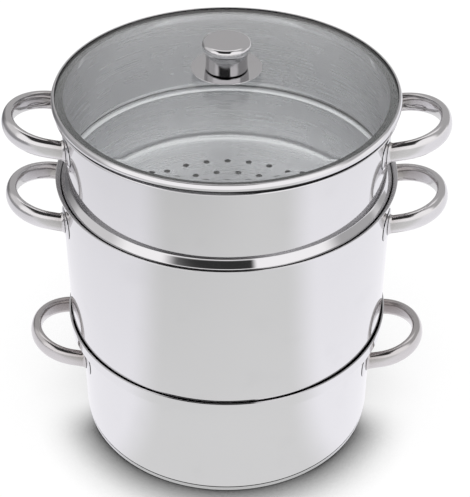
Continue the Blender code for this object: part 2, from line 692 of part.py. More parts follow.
def add_knob(frame):
    """The knob, the saucer under it, and the screw and washers that hold both to the glass."""
    bore = SCREW_RADIUS + SCREW_CLEARANCE
    saucer = sheet_outline([
        (SAUCER_RADIUS, SAUCER_LEVEL + SAUCER_RISE, 0),
        (SAUCER_WELL_RADIUS, SAUCER_LEVEL, 0),
        (bore, SAUCER_LEVEL, 0),
    ], SAUCER_SHEET)
    cap_top = KNOB_LEVEL + KNOB_HEIGHT
    neck_radius = KNOB_CAP_RADIUS - KNOB_CAP_TUCK - KNOB_SHEET - KNOB_CAP_CLEARANCE
    neck_top = cap_top - KNOB_CAP_SKIRT + KNOB_CAP_OVERLAP
    body = sheet_outline([
        (neck_radius, neck_top, 0),
        (KNOB_WAIST_RADIUS, KNOB_LEVEL + KNOB_WAIST_RISE, KNOB_WAIST_ROUND),
        (KNOB_FOOT_RADIUS, KNOB_LEVEL, KNOB_FOOT_ROUND),
        (bore, KNOB_LEVEL, 0),
    ], KNOB_SHEET)
    cap = sheet_outline([
        (0.0, cap_top, 0),
        (KNOB_CAP_RADIUS, cap_top, KNOB_CAP_ROUND),
        (KNOB_CAP_RADIUS, cap_top - KNOB_CAP_SKIRT + KNOB_CAP_TUCK_HEIGHT, 0),
        (KNOB_CAP_RADIUS - KNOB_CAP_TUCK, cap_top - KNOB_CAP_SKIRT, 0),
    ], KNOB_SHEET)
    insert_low = KNOB_LEVEL + KNOB_SHEET + SEAT_GAP
    insert_high = cap_top - KNOB_SHEET - SEAT_GAP
    screw_tip = insert_low + SCREW_ENGAGEMENT
    insert = [
        (0.0, insert_high), (INSERT_RADIUS, insert_high), (INSERT_RADIUS, insert_low),
        (bore, insert_low), (bore, screw_tip + SEAT_GAP), (0.0, screw_tip + SEAT_GAP)]
    upper_low = GLASS_TOP_LEVEL + SEAT_GAP
    upper = ring_outline(
        SEAL_WASHER_RADIUS, bore, upper_low, upper_low + SEAL_WASHER_THICKNESS)
    lower_high = GLASS_UNDER_LEVEL - SEAT_GAP
    lower_low = lower_high - SEAL_WASHER_THICKNESS
    lower = ring_outline(SEAL_WASHER_RADIUS, bore, lower_low, lower_high)
    washer_high = lower_low - SEAT_GAP
    washer_low = washer_high - STEEL_WASHER_THICKNESS
    washer = ring_outline(STEEL_WASHER_RADIUS, bore, washer_low, washer_high)
    head_high = washer_low - SEAT_GAP
    head_low = head_high - SCREW_HEAD_HEIGHT
    screw = [
        (0.0, screw_tip), (SCREW_RADIUS, screw_tip), (SCREW_RADIUS, head_high),
        (SCREW_HEAD_RADIUS, head_high), (SCREW_HEAD_RADIUS, head_low), (0.0, head_low)]
    stack = (
        ("lid_knob_cap", cap, polished_steel),
        ("lid_knob_body", body, polished_steel),
        ("lid_knob_insert", insert, brass),
        ("lid_knob_saucer", saucer, polished_steel),
        ("lid_knob_upper_seal", upper, silicone),
        ("lid_knob_lower_seal", lower, silicone),
        ("lid_knob_steel_washer", washer, brushed_steel),
        ("lid_knob_screw", screw, brushed_steel),
    )
    for name, outline, material in stack:
        piece = turned_object(name, outline, material(name), frame, KNOB_STEPS)
    bm = bmesh.new()
    slot_size = (2 * (SCREW_HEAD_RADIUS + CUT_OVERRUN), SCREW_SLOT_WIDTH, 2 * SCREW_SLOT_DEPTH, 1.0)
    bmesh.ops.create_cube(bm, size=1.0, matrix=Matrix.Diagonal(slot_size))
    slot = add_cutter("screw_slot", mesh_of(bm, "screw_slot"), frame)
    slot.location.z = head_low
    cut(piece, slot)


def add_lid():
    """The lid: glass, band and knob."""
    frame = tier_frame("lid_frame", LID_SEAT)
    add_lid_glass(frame)
    add_lid_band(frame)
    add_knob(frame)


clear_scene()
PARTS = new_collection("steam_juicer")
CUTTERS = new_collection("cutters")
add_water_pan()
add_juice_collector()
add_steamer_basket()
add_lid()
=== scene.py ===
"""Looks of the steam juicer: fine meshes, finishes, studio and camera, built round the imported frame.

Lengths are in metres. Every turned piece is an outline of (radius, level) points swept round the
stack's axis. Levels and outer sizes come from the frame's own boxes, and the sheet sizes below are
those of the object.
"""

import math

import bmesh
import bpy
from mathutils import Matrix, Vector


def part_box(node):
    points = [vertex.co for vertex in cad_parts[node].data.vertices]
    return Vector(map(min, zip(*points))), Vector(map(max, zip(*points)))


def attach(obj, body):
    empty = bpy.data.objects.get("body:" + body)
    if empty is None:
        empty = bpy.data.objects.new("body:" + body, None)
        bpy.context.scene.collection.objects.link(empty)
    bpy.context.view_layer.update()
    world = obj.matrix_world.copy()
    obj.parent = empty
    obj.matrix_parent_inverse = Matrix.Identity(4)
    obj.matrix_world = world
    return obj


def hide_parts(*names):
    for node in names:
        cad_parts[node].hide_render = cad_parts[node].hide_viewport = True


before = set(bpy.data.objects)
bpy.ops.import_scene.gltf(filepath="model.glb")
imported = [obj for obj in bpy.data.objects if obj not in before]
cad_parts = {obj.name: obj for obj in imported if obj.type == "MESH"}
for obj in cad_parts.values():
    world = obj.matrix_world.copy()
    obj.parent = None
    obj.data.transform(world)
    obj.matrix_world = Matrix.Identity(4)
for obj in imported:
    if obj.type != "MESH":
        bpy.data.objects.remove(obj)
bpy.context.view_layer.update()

# How finely shapes are cut
POT_STEPS = 224
KNOB_STEPS = 96
SPOUT_STEPS = 48
HOLE_STEPS = 16
ARC_STEP = math.radians(15)
SHARP_ANGLE = math.radians(38)
SUPPORT = 0.0009
SUPPORTED_LENGTH = 0.005

# Sheet metal and gaps, and the radius within which a point is on the axis
SHEET = 0.0008
GAP = 0.0003
ON_AXIS = 0.00003

# Walls of the tiers
PAN_WALL = 0.123
COLLAR_WALL = 0.1318
COLLECTOR_WALL = 0.130
BASKET_WALL = 0.125

# Photograph and camera, found by fitting the rims, walls and handles
PHOTO_HEIGHT = 497
PHOTO_WIDTH = 470
AXIS_COLUMN = 226.6
FOCAL_PIXELS = 1325.0
SENSOR = 36.0
CAMERA_DISTANCE = 0.8671
CAMERA_HEIGHT = 0.816
CAMERA_PITCH = math.radians(37.27)
CAMERA_AZIMUTH = math.radians(0.6)


def place_camera():
    """The camera at the photograph's place, a little right of the front and looking down."""
    data = bpy.data.cameras.new("camera")
    data.sensor_width = SENSOR
    data.lens = FOCAL_PIXELS / PHOTO_HEIGHT * SENSOR
    data.shift_x = (PHOTO_WIDTH / 2 - AXIS_COLUMN) / PHOTO_HEIGHT
    camera = bpy.data.objects.new("camera", data)
    camera.location = (
        CAMERA_DISTANCE * math.sin(CAMERA_AZIMUTH),
        -CAMERA_DISTANCE * math.cos(CAMERA_AZIMUTH),
        CAMERA_HEIGHT)
    camera.rotation_euler = (math.pi / 2 - CAMERA_PITCH, 0.0, CAMERA_AZIMUTH)
    bpy.context.scene.collection.objects.link(camera)
    bpy.context.scene.camera = camera


# Node trees

class Tree:
    """Adds nodes to a material's or the world's tree and links them by their sockets."""

    def __init__(self, tree):
        self.tree = tree
        self.tree.nodes.clear()

    def give(self, socket, value):
        """Link another node's output to a socket, or set it. Colours are given without alpha."""
        if isinstance(value, bpy.types.NodeSocket):
            self.tree.links.new(value, socket)
        elif socket.type == "RGBA":
            socket.default_value = (*value, 1.0)
        else:
            socket.default_value = value

    def add(self, kind, sockets=None, **settings):
        """A node with its settings, whose sockets take values or other nodes' outputs."""
        made = self.tree.nodes.new(kind)
        for name, value in settings.items():
            setattr(made, name, value)
        for name, value in (sockets or {}).items():
            self.give(made.inputs[name], value)
        return made

    def finish(self, kind, shader):
        """An output node that takes a shader node's result."""
        self.add(kind, {0: shader.outputs[0]})

    def maths(self, operation, first, second=0.0, third=0.0):
        """The output of a Math node."""
        made = self.add("ShaderNodeMath", {0: first, 1: second, 2: third}, operation=operation)
        return made.outputs[0]

    def length(self, x, y):
        """The length of a flat vector."""
        squares = self.maths("MULTIPLY_ADD", x, x, self.maths("MULTIPLY", y, y))
        return self.maths("SQRT", squares)

    def blend(self, share, first, second):
        """A number that moves by a share from the first to the second."""
        return self.maths("MULTIPLY_ADD", share, self.maths("SUBTRACT", second, first), first)

    def ramp(self, value, low, high, out_low=0.0, out_high=1.0, curve="SMOOTHSTEP"):
        """A value moved from one range to another, smoothly unless the curve is linear."""
        made = self.add("ShaderNodeMapRange", {
            "Value": value, "From Min": low, "From Max": high,
            "To Min": out_low, "To Max": out_high}, interpolation_type=curve)
        return made.outputs[0]

    def region(self, axes, edges):
        """How far a place is inside a region.

        Each edge of it is an axis, where the region starts there and where it is whole.
        """
        share = 1.0
        for axis, start, whole in edges:
            low, high = sorted((start, whole))
            inside = self.ramp(axes[axis], low, high, float(start > whole), float(start < whole))
            share = self.maths("MULTIPLY", inside, share)
        return share

    def noise(self, vector, scale, detail, w=None):
        """The value of a noise texture, with a fourth coordinate where one is given."""
        sockets = {"Vector": vector, "Scale": scale, "Detail": detail}
        if w is not None:
            sockets["W"] = w
        made = self.add(
            "ShaderNodeTexNoise", sockets, noise_dimensions="3D" if w is None else "4D")
        return made.outputs[0]

    def openness(self, reach, samples):
        """The share of the space in front of a face that is free of metal within a reach."""
        made = self.add("ShaderNodeAmbientOcclusion", {"Distance": reach}, samples=samples)
        return made.outputs["AO"]

    def bump(self, height, depth, below=None, strength=1.0):
        """A normal that follows a height, laid over another normal where one is given."""
        sockets = {"Strength": strength, "Distance": depth, "Height": height}
        if below is not None:
            sockets["Normal"] = below
        return self.add("ShaderNodeBump", sockets).outputs[0]

    def mix_colour(self, share, first, second):
        """Two colours mixed by a share of the second."""
        made = self.add("ShaderNodeMix", {0: share}, data_type="RGBA")
        self.give(made.inputs[6], first)
        self.give(made.inputs[7], second)
        return made.outputs[2]

    def scale_colour(self, colour, factor):
        """A colour times a number."""
        made = self.add("ShaderNodeVectorMath", {0: colour, 1: factor}, operation="MULTIPLY")
        return made.outputs[0]


def new_material(name):
    """A material and its empty tree."""
    material = bpy.data.materials.new(name)
    material.use_nodes = True
    return material, Tree(material.node_tree)


# Finish of the metal, with noise scales in turns per metre

STREAK_STRETCH = 9.0
STREAK_DEPTH = 1.5e-6
GRAIN_SCALE = 900.0
WAVE_SCALE = 14.0
WAVE_DEPTH = 2.5e-5
SMUDGE_SCALE = 34.0
SMUDGE_RANGE = (0.52, 0.78)
SMUDGE_LOSS = 0.02
WIPE_SCALE = 9.0
WIPE_RANGE = (0.3, 0.7)
WIPE_DARKEST = 0.985

# Inside of a vessel, told from its lip by the radius and by how far a face looks outward
INSIDE_RADIUS = 0.129
INSIDE_DOWNWARD_SHARE = -0.3
INSIDE_OUTWARD = (-0.2, -0.05)
LIP_OUTWARD = (-0.45, -0.3)
# Painted shade: the inner face of the lip is darkened on the left side of the vessel
LIP_SHADE_SIDE = (-0.09, 0.0)
LIP_PAINTED_SHADE = 0.3

# Painted shade in seams, reaching wider on the right and below the lid
CREVICE_REACH = 0.003
CREVICE_REACH_RIGHT = 0.008
CREVICE_SIDE = (0.0, 0.09)
CREVICE_SHUT = 0.1
CREVICE_SPAN = 0.3
CREVICE_UPWARD_SHARES = (0.4, 0.3)
CREVICE_DARKEST = 0.06
CREVICE_SAMPLES = 4
LID_SEAM = 2.0
LID_SEAM_LEVELS = (0.288, 0.292)

# Painted shade, a brown-grey, in sheltered places
SHELTER_REACH = 0.035
SHELTER_RANGE = (0.5, 0.86)
SHELTER_MOTTLE = 0.3
SHELTER_SAMPLES = 6


def spun_streaks(tree, place, lines):
    """Fine lines that run round the Z axis, as spinning and polishing leave them."""
    x, y, z = tree.add("ShaderNodeSeparateXYZ", {0: place}).outputs
    stretched = tree.add("ShaderNodeCombineXYZ", {
        0: tree.maths("MULTIPLY", x, STREAK_STRETCH), 1: tree.maths("MULTIPLY", y, STREAK_STRETCH),
        2: tree.maths("MULTIPLY", z, lines)})
    outward = tree.maths("MULTIPLY", tree.length(x, y), lines)
    return tree.noise(stretched.outputs[0], 1.0, 3.0, outward)


def inside_and_lip(tree, place, normal):
    """Shares of a face that belong to a vessel's inside and to the inner face of its lip."""
    radius = tree.length(place[0], place[1])
    outward = tree.maths(
        "MULTIPLY_ADD", place[0], normal[0], tree.maths("MULTIPLY", place[1], normal[1]))
    outward = tree.maths("DIVIDE", outward, radius)
    facing = tree.maths("MULTIPLY_ADD", normal[2], INSIDE_DOWNWARD_SHARE, outward)
    inside = tree.maths(
        "MULTIPLY", tree.maths("LESS_THAN", radius, INSIDE_RADIUS),
        tree.ramp(facing, *INSIDE_OUTWARD, 1.0, 0.0))
    lip = tree.maths(
        "MULTIPLY", tree.maths("GREATER_THAN", radius, INSIDE_RADIUS),
        tree.ramp(outward, *LIP_OUTWARD, 1.0, 0.0))
    return inside, lip


def light_in_seams(tree, place, normal, crevice):
    """The share of light left on a face by painted shade in seams, least in seams that open upwards.
    """
    reach = tree.ramp(
        place[0], *CREVICE_SIDE, CREVICE_REACH * crevice, CREVICE_REACH_RIGHT * crevice)
    reach = tree.maths("MULTIPLY", reach, tree.ramp(place[2], *LID_SEAM_LEVELS, 1.0, LID_SEAM))
    upward = tree.maths("MAXIMUM", normal[2], 0.0)
    low_share, high_share = CREVICE_UPWARD_SHARES
    low = tree.maths("MULTIPLY_ADD", upward, low_share, CREVICE_SHUT)
    high = tree.maths("MULTIPLY_ADD", upward, high_share, CREVICE_SHUT + CREVICE_SPAN)
    return tree.ramp(tree.openness(reach, CREVICE_SAMPLES), low, high, CREVICE_DARKEST, 1.0)


def steel(name, colour, roughness, spread, lines=None, streak_depth=STREAK_DEPTH, crevice=1.0,
          inside=0.0, sheltered=None):
    """Metal with polishing lines, faint smudges, slightly wavy reflections and painted shade in
    crevices.

    A vessel is brushed inside instead of polished, by the roughness that inside adds, and the inner
    face of its lip gets painted shade on the left. Sheltered is the brown-grey colour of painted shade
    in sheltered places.
    """
    material, tree = new_material(name)
    coordinates = tree.add("ShaderNodeTexCoord").outputs
    spot = coordinates["Object"]
    place = tree.add("ShaderNodeSeparateXYZ", {0: spot}).outputs
    normal = tree.add("ShaderNodeSeparateXYZ", {0: coordinates["Normal"]}).outputs
    streaks = spun_streaks(tree, spot, lines) if lines else tree.noise(spot, GRAIN_SCALE, 4.0)
    marks = tree.ramp(tree.noise(spot, SMUDGE_SCALE, 5.0), *SMUDGE_RANGE)
    wipe = tree.noise(spot, WIPE_SCALE, 2.0)
    rough = tree.maths("MULTIPLY_ADD", streaks, spread, roughness - spread / 2)
    rough = tree.maths("MULTIPLY_ADD", marks, spread, rough)
    light = tree.maths("MULTIPLY_ADD", marks, -SMUDGE_LOSS, 1.0)
    light = tree.maths("MULTIPLY", light, tree.ramp(wipe, *WIPE_RANGE, WIPE_DARKEST, 1.0))
    # Painted shade: seams are darkened by how little open space they have
    light = tree.maths("MULTIPLY", light, light_in_seams(tree, place, normal, crevice))
    if inside:
        brushed, lip = inside_and_lip(tree, place, normal)
        rough = tree.maths("MULTIPLY_ADD", tree.maths("MAXIMUM", brushed, lip), inside, rough)
        # Painted shade on the lip's inner face, darkest on the left
        loss = tree.maths("MULTIPLY", lip, tree.ramp(place[0], *LIP_SHADE_SIDE, -LIP_PAINTED_SHADE, 0.0))
        light = tree.maths("MULTIPLY", light, tree.maths("ADD", loss, 1.0))
    if sheltered:
        # Painted shade: where little open space surrounds a face, the colour moves to a brown-grey,
        # mottled by the wipe noise
        mottled = tree.maths(
            "MULTIPLY_ADD", tree.maths("SUBTRACT", wipe, 0.5), SHELTER_MOTTLE,
            tree.openness(SHELTER_REACH, SHELTER_SAMPLES))
        colour = tree.mix_colour(tree.ramp(mottled, *SHELTER_RANGE), sheltered, colour)
    wave = tree.bump(tree.noise(spot, WAVE_SCALE, 1.0), WAVE_DEPTH)
    tree.finish("ShaderNodeOutputMaterial", tree.add("ShaderNodeBsdfPrincipled", {
        "Base Color": tree.scale_colour(colour, light), "Metallic": 1.0, "Roughness": rough,
        "Normal": tree.bump(streaks, streak_depth, wave)}))
    return material


# Silicone and glass

SILICONE_COLOURS = ((0.78, 0.78, 0.75), (0.88, 0.88, 0.86))
SILICONE_CLOUD_SCALE = 160.0
SILICONE_GRAIN_SCALE = 2600.0
SILICONE_GRAIN_DEPTH = 2e-5
SILICONE_GRAIN_STRENGTH = 0.4
SILICONE_ROUGHNESS = 0.42
SILICONE_ROUGHNESS_SPREAD = 0.2
SILICONE_SCATTER = (0.002, 0.002, 0.002)
GLASS_COLOURS = ((0.955, 0.975, 0.968), (0.975, 0.985, 0.98))
GLASS_TONE_SCALE = 11.0
GLASS_SMUDGE_SCALE = 26.0
GLASS_SMUDGE_RANGE = (0.58, 0.8)
GLASS_SMUDGE_ROUGHNESS = 0.02
GLASS_RIPPLE_SCALE = 22.0
GLASS_RIPPLE_DEPTH = 2e-5


def silicone():
    """Milky silicone rubber with a fine matt skin."""
    material, tree = new_material("milky_silicone")
    spot = tree.add("ShaderNodeTexCoord").outputs["Object"]
    cloud = tree.noise(spot, SILICONE_CLOUD_SCALE, 3.0)
    grain = tree.noise(spot, SILICONE_GRAIN_SCALE, 2.0)
    rough = tree.maths("MULTIPLY_ADD", grain, SILICONE_ROUGHNESS_SPREAD, SILICONE_ROUGHNESS)
    skin = tree.bump(grain, SILICONE_GRAIN_DEPTH, strength=SILICONE_GRAIN_STRENGTH)
    tree.finish("ShaderNodeOutputMaterial", tree.add("ShaderNodeBsdfPrincipled", {
        "Base Color": tree.mix_colour(cloud, *SILICONE_COLOURS), "Roughness": rough,
        "Subsurface Weight": 0.25, "Subsurface Radius": SILICONE_SCATTER,
        "Subsurface Scale": 1.0, "Normal": skin}))
    return material


def lid_glass():
    """Clear tempered glass with a faint green cast and finger smudges."""
    material, tree = new_material("tempered_glass")
    spot = tree.add("ShaderNodeTexCoord").outputs["Object"]
    smudge = tree.ramp(tree.noise(spot, GLASS_SMUDGE_SCALE, 4.0), *GLASS_SMUDGE_RANGE)
    tone = tree.noise(spot, GLASS_TONE_SCALE, 2.0)
    ripple = tree.noise(spot, GLASS_RIPPLE_SCALE, 1.0)
    tree.finish("ShaderNodeOutputMaterial", tree.add("ShaderNodeBsdfPrincipled", {
        "Base Color": tree.mix_colour(tone, *GLASS_COLOURS),
        "Roughness": tree.maths("MULTIPLY", smudge, GLASS_SMUDGE_ROUGHNESS),
        "IOR": 1.5, "Transmission Weight": 1.0, "Normal": tree.bump(ripple, GLASS_RIPPLE_DEPTH)}))
    return material


# Materials

POLISHED = (0.79, 0.787, 0.80)
POLISHED_KNOB = (0.77, 0.765, 0.775)
# Painted shade: the knob's sides are a much darker copy of the knob steel
KNOB_STEEL_PAINTED_DARKER = (0.5, 0.495, 0.505)
POLISHED_HANDLE = (0.77, 0.76, 0.768)
# Painted shade: the pan's handles are a darker, browner copy of the handle steel
PAN_HANDLE_PAINTED_DARKER = (0.66, 0.64, 0.64)
# Brown-greys of the painted shade in the handles' sheltered places
SHELTER_SHADE_BROWN = (0.33, 0.3, 0.285)
SHELTER_SHADE_BROWN_PAN = (0.3, 0.265, 0.25)
BRUSHED = (0.66, 0.66, 0.67)

MIRROR = steel("mirror_steel", POLISHED, 0.055, 0.035, lines=700.0)
VESSEL = steel(
    "mirror_steel_vessel", POLISHED, 0.055, 0.035, lines=700.0, crevice=0.6, inside=0.22)
KNOB_STEEL = steel("mirror_steel_knob", POLISHED_KNOB, 0.07, 0.03, lines=900.0, crevice=0.2)
# Knob sides with painted shade in their colour
KNOB_SIDE_PAINTED_SHADE = steel(
    "mirror_steel_knob_side_painted_shade", KNOB_STEEL_PAINTED_DARKER, 0.09, 0.03, lines=900.0, crevice=0.2)
HANDLE_STEEL = steel(
    "mirror_steel_handle", POLISHED_HANDLE, 0.12, 0.07, crevice=0.3, sheltered=SHELTER_SHADE_BROWN)
# Pan handles with painted shade in their colour
PAN_HANDLE_SHADED_STEEL = steel(
    "mirror_steel_pan_handle_painted_shade", PAN_HANDLE_PAINTED_DARKER, 0.15, 0.07, crevice=0.3,
    sheltered=SHELTER_SHADE_BROWN_PAN)
PLATE_STEEL = steel("mirror_steel_plate", POLISHED, 0.07, 0.03, crevice=0.2)
SATIN = steel("satin_steel", BRUSHED, 0.27, 0.14, lines=1500.0, streak_depth=6e-6)
SATIN_PLAIN = steel("satin_steel_plain", BRUSHED, 0.24, 0.12, streak_depth=4e-6)
ALUMINIUM = steel("rolled_aluminium", (0.76, 0.77, 0.78), 0.38, 0.16, streak_depth=6e-6)
BRASS = steel("turned_brass", (0.73, 0.56, 0.28), 0.26, 0.1, lines=2600.0, streak_depth=4e-6)
SILICONE = silicone()
GLASS = lid_glass()


# Outlines and meshes

def arc(centre, start, turn):
    """Points of an arc from a start offset, turned about its centre."""
    steps = max(2, math.ceil(abs(turn) / ARC_STEP))
    return [centre + Matrix.Rotation(turn * step / steps, 2) @ start for step in range(steps + 1)]


def rounded(corners, closed=False):
    """Outline points of corners (radius, level, fillet), each rounded by its fillet."""
    points = []
    last = len(corners) - 1
    for index, (radius, level, fillet) in enumerate(corners):
        corner = Vector((radius, level))
        if fillet == 0 or (not closed and index in (0, last)):
            points.append(corner)
            continue
        to_last = (Vector(corners[index - 1][:2]) - corner).normalized()
        to_next = (Vector(corners[(index + 1) % len(corners)][:2]) - corner).normalized()
        half = to_last.angle(to_next) / 2
        centre = corner + (to_last + to_next).normalized() * (fillet / math.sin(half))
        setback = fillet / math.tan(half)
        start = corner + to_last * setback - centre
        turn = (corner + to_next * setback - centre).angle_signed(start)
        points += arc(centre, start, turn)
    return points


def supported(points, closed=False):
    """Extra points near the ends of long straight runs, so that flat metal is shaded flat."""
    result = []
    pairs = list(zip(points, points[1:] + points[:1]))
    for index, (a, b) in enumerate(pairs):
        result.append(a)
        if index == len(pairs) - 1 and not closed:
            continue
        if (b - a).length > SUPPORTED_LENGTH:
            way = (b - a).normalized() * SUPPORT
            if a.x > 0:
                result.append(a + way)
            if b.x > 0:
                result.append(b - way)
    return result


def offset(points, distance):
    """The line beside an open line of points, to the inside of a wall drawn downwards."""
    sides = [(b - a).normalized() for a, b in zip(points, points[1:])]
    inward = [Vector((side.y, -side.x)) for side in sides]
    moved = [points[0] + inward[0] * distance]
    for point, before, after in zip(points[1:], inward, inward[1:]):
        moved.append(point + (before + after) * (distance / (1 + before.dot(after))))
    moved.append(points[-1] + inward[-1] * distance)
    return moved


def round_end(first, second):
    """Points of a half round from one face of a sheet's edge to the other, ends left out."""
    centre = (first + second) / 2
    return arc(centre, first - centre, -math.pi)[1:-1]


def sheet(corners, thickness, ends=(False, False)):
    """Closed outline of sheet metal whose outer face runs through the corners, top to bottom.

    Either end can be rounded over, as a trimmed and polished edge is.
    """
    outer = supported(rounded(corners))
    inner = offset(outer, thickness)
    outline = list(outer)
    if ends[1]:
        outline += round_end(outer[-1], inner[-1])
    outline += inner[::-1]
    if ends[0]:
        outline += round_end(inner[0], outer[0])
    return outline


def solid_of(corners):
    """Closed outline of a solid turned piece."""
    return supported(rounded(corners, closed=True), closed=True)


def shade(mesh):
    """Smooth shading that keeps real edges crisp."""
    mesh.shade_smooth()
    mesh.set_sharp_from_angle(angle=SHARP_ANGLE)


def mesh_from(name, vertices, faces):
    """A closed mesh with its faces pointing out."""
    bm = bmesh.new()
    made = [bm.verts.new(place) for place in vertices]
    for face in faces:
        bm.faces.new([made[index] for index in face])
    bmesh.ops.recalc_face_normals(bm, faces=bm.faces)
    mesh = bpy.data.meshes.new(name)
    bm.to_mesh(mesh)
    bm.free()
    shade(mesh)
    return mesh


def turned_mesh(name, outline, steps):
    """An outline of (radius, level) points swept all the way round +Z."""
    vertices, rings = [], []
    for point in outline:
        if point[0] < ON_AXIS:
            rings.append([len(vertices)] * steps)
            vertices.append((0.0, 0.0, point[1]))
            continue
        first = len(vertices)
        for step in range(steps):
            angle = 2 * math.pi * step / steps
            vertices.append((point[0] * math.cos(angle), point[0] * math.sin(angle), point[1]))
        rings.append(list(range(first, first + steps)))
    faces = []
    for here, there in zip(rings, rings[1:] + rings[:1]):
        for step in range(steps):
            nxt = (step + 1) % steps
            face = []
            for index in (here[step], here[nxt], there[nxt], there[step]):
                if index not in face:
                    face.append(index)
            if len(face) > 2:
                faces.append(face)
    return mesh_from(name, vertices, faces)


def object_from(name, bm):
    """An object whose mesh takes over what a bmesh holds."""
    mesh = bpy.data.meshes.new(name)
    bm.to_mesh(mesh)
    bm.free()
    made = bpy.data.objects.new(name, mesh)
    bpy.context.scene.collection.objects.link(made)
    return made


def applied(piece):
    """The mesh that a piece's modifiers give."""
    bpy.context.view_layer.update()
    depsgraph = bpy.context.evaluated_depsgraph_get()
    return bpy.data.meshes.new_from_object(piece.evaluated_get(depsgraph))


def cut_with(piece, cutter):
    """Take a cutter's shape out of a piece's mesh and remove the cutter."""
    modifier = piece.modifiers.new("cut", "BOOLEAN")
    modifier.operation = "DIFFERENCE"
    modifier.solver = "EXACT"
    modifier.object = cutter
    cut = applied(piece)
    piece.modifiers.clear()
    piece.data = cut
    bpy.data.objects.remove(cutter, do_unlink=True)
    shade(cut)


def cylinders(name, places, radius, depth, steps, matrix):
    """A cutter of one or more cylinders along +Z, moved by a matrix."""
    bm = bmesh.new()
    for x, y in places:
        bmesh.ops.create_cone(
            bm, cap_ends=True, segments=steps, radius1=radius, radius2=radius, depth=depth,
            matrix=Matrix.Translation((x, y, 0.0)))
    bm.transform(matrix)
    return object_from(name, bm)


def show(name, mesh, material, body, *nodes, matrix=None):
    """A visible piece that rides a body and stands for its plain nodes."""
    piece = bpy.data.objects.new(name, mesh)
    if matrix is not None:
        mesh.transform(matrix)
    bpy.context.scene.collection.objects.link(piece)
    mesh.materials.clear()
    mesh.materials.append(material)
    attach(piece, body)
    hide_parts(*nodes)
    return piece


def level_range(node):
    """A node's lowest and highest level."""
    low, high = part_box(node)
    return low.z, high.z


# Water pan

PAN_CORNER = 0.0016
LEDGE_CORNER = 0.0014
HEM_HEIGHT = 0.0024
HEM_ROUND = 0.0003
BASE_CORNER = 0.0012
BASE_SHEET = 0.0006
BASE_INSET = 0.0004


def water_pan():
    """The pan with its ledge, collar and hem, and its capsule base."""
    floor, top = level_range("water_pan_body")
    hem_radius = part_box("water_pan_body")[1].x
    ledge = level_range("juice_collector_body")[0] - GAP - SHEET
    wall = supported(rounded([
        (COLLAR_WALL, top - HEM_HEIGHT, 0),
        (COLLAR_WALL, ledge, LEDGE_CORNER),
        (PAN_WALL, ledge, LEDGE_CORNER),
        (PAN_WALL, floor, PAN_CORNER),
        (0.0, floor, 0)]))
    inner = offset(wall, SHEET)
    hem = rounded([
        (COLLAR_WALL - SHEET, top - HEM_HEIGHT, 0),
        (COLLAR_WALL - SHEET, top, HEM_ROUND),
        (hem_radius, top, HEM_ROUND),
        (hem_radius, top - HEM_HEIGHT, HEM_ROUND / 2),
        (COLLAR_WALL, top - HEM_HEIGHT, 0)])
    outline = hem[:-1] + wall + inner[::-1][:-1]
    show("pan_shell", turned_mesh("pan_shell", outline, POT_STEPS), VESSEL,
         "water_pan", "water_pan_body")

    cap_low, cap_top = level_range("water_pan_base_cap")
    cap_radius = PAN_WALL - BASE_INSET
    cap = sheet([
        (cap_radius, cap_top, 0), (cap_radius, cap_low, BASE_CORNER), (0.0, cap_low, 0)],
        BASE_SHEET)
    show("base_cap", turned_mesh("base_cap", cap, POT_STEPS), SATIN,
         "water_pan", "water_pan_base_cap")
    core_low, core_top = level_range("water_pan_base_core")
    core_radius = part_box("water_pan_base_core")[1].x
    chamfer = BASE_CORNER - BASE_SHEET
    core = solid_of([
        (0.0, core_top, 0), (core_radius, core_top, 0), (core_radius, core_low, chamfer),
        (0.0, core_low, 0)])
    show("base_core", turned_mesh("base_core", core, POT_STEPS), ALUMINIUM,
         "water_pan", "water_pan_base_core")


# Juice collector

COLLECTOR_CORNER = 0.004
RIM_REACH = 0.0037
RIM_RISE = 0.0022
RIM_FLARE = 0.0031
RIM_BEND = 0.0012
FUNNEL_BASE = 0.050
FUNNEL_MOUTH = 0.022
FUNNEL_LIP = 0.002
FUNNEL_FLANGE = 0.008
FUNNEL_BEND = 0.003
SPOUT_BORE = 0.005
SPOUT_TUBE = 0.0065
SPOUT_SHOULDER = 0.011
SPOUT_SHOULDER_THICKNESS = 0.002
SPOUT_BARB = 0.0075
SPOUT_BARB_LENGTH = 0.005
SPOUT_HOLE = 0.0069
SPOUT_CUT = 0.01
NUT_SIDES = 6
EDGE_ROUND = 0.0004


def collector_shell():
    """The collector's wall with its flared rim and its ring-shaped floor."""
    floor, top = level_range("juice_collector_body")
    lip = top + RIM_RISE
    outline = sheet([
        (COLLECTOR_WALL + RIM_REACH, lip, 0),
        (COLLECTOR_WALL, lip - RIM_FLARE, RIM_BEND),
        (COLLECTOR_WALL, floor, COLLECTOR_CORNER),
        (FUNNEL_BASE, floor, 0)], SHEET, ends=(True, True))
    piece = show("collector_shell", turned_mesh("collector_shell", outline, POT_STEPS), VESSEL,
                 "juice_collector", "juice_collector_body")
    low, high = level_range("juice_spout")
    place = Matrix.Translation((0.0, COLLECTOR_WALL, (low + high) / 2))
    turn = place @ Matrix.Rotation(math.pi / 2, 4, "X")
    cut_with(piece, cylinders(
        "spout_hole", [(0.0, 0.0)], SPOUT_HOLE, SPOUT_CUT, SPOUT_STEPS, turn))


def steam_funnel():
    """The cone that leads steam from the pan up through the juice."""
    low, high = level_range("steam_funnel")
    outline = sheet([
        (FUNNEL_MOUTH, high, 0),
        (FUNNEL_MOUTH, high - FUNNEL_LIP, FUNNEL_BEND),
        (FUNNEL_BASE, low + SHEET, FUNNEL_BEND),
        (FUNNEL_BASE + FUNNEL_FLANGE, low + SHEET, 0)], SHEET, ends=(True, True))
    show("funnel_cone", turned_mesh("funnel_cone", outline, POT_STEPS), MIRROR,
         "juice_collector", "steam_funnel")


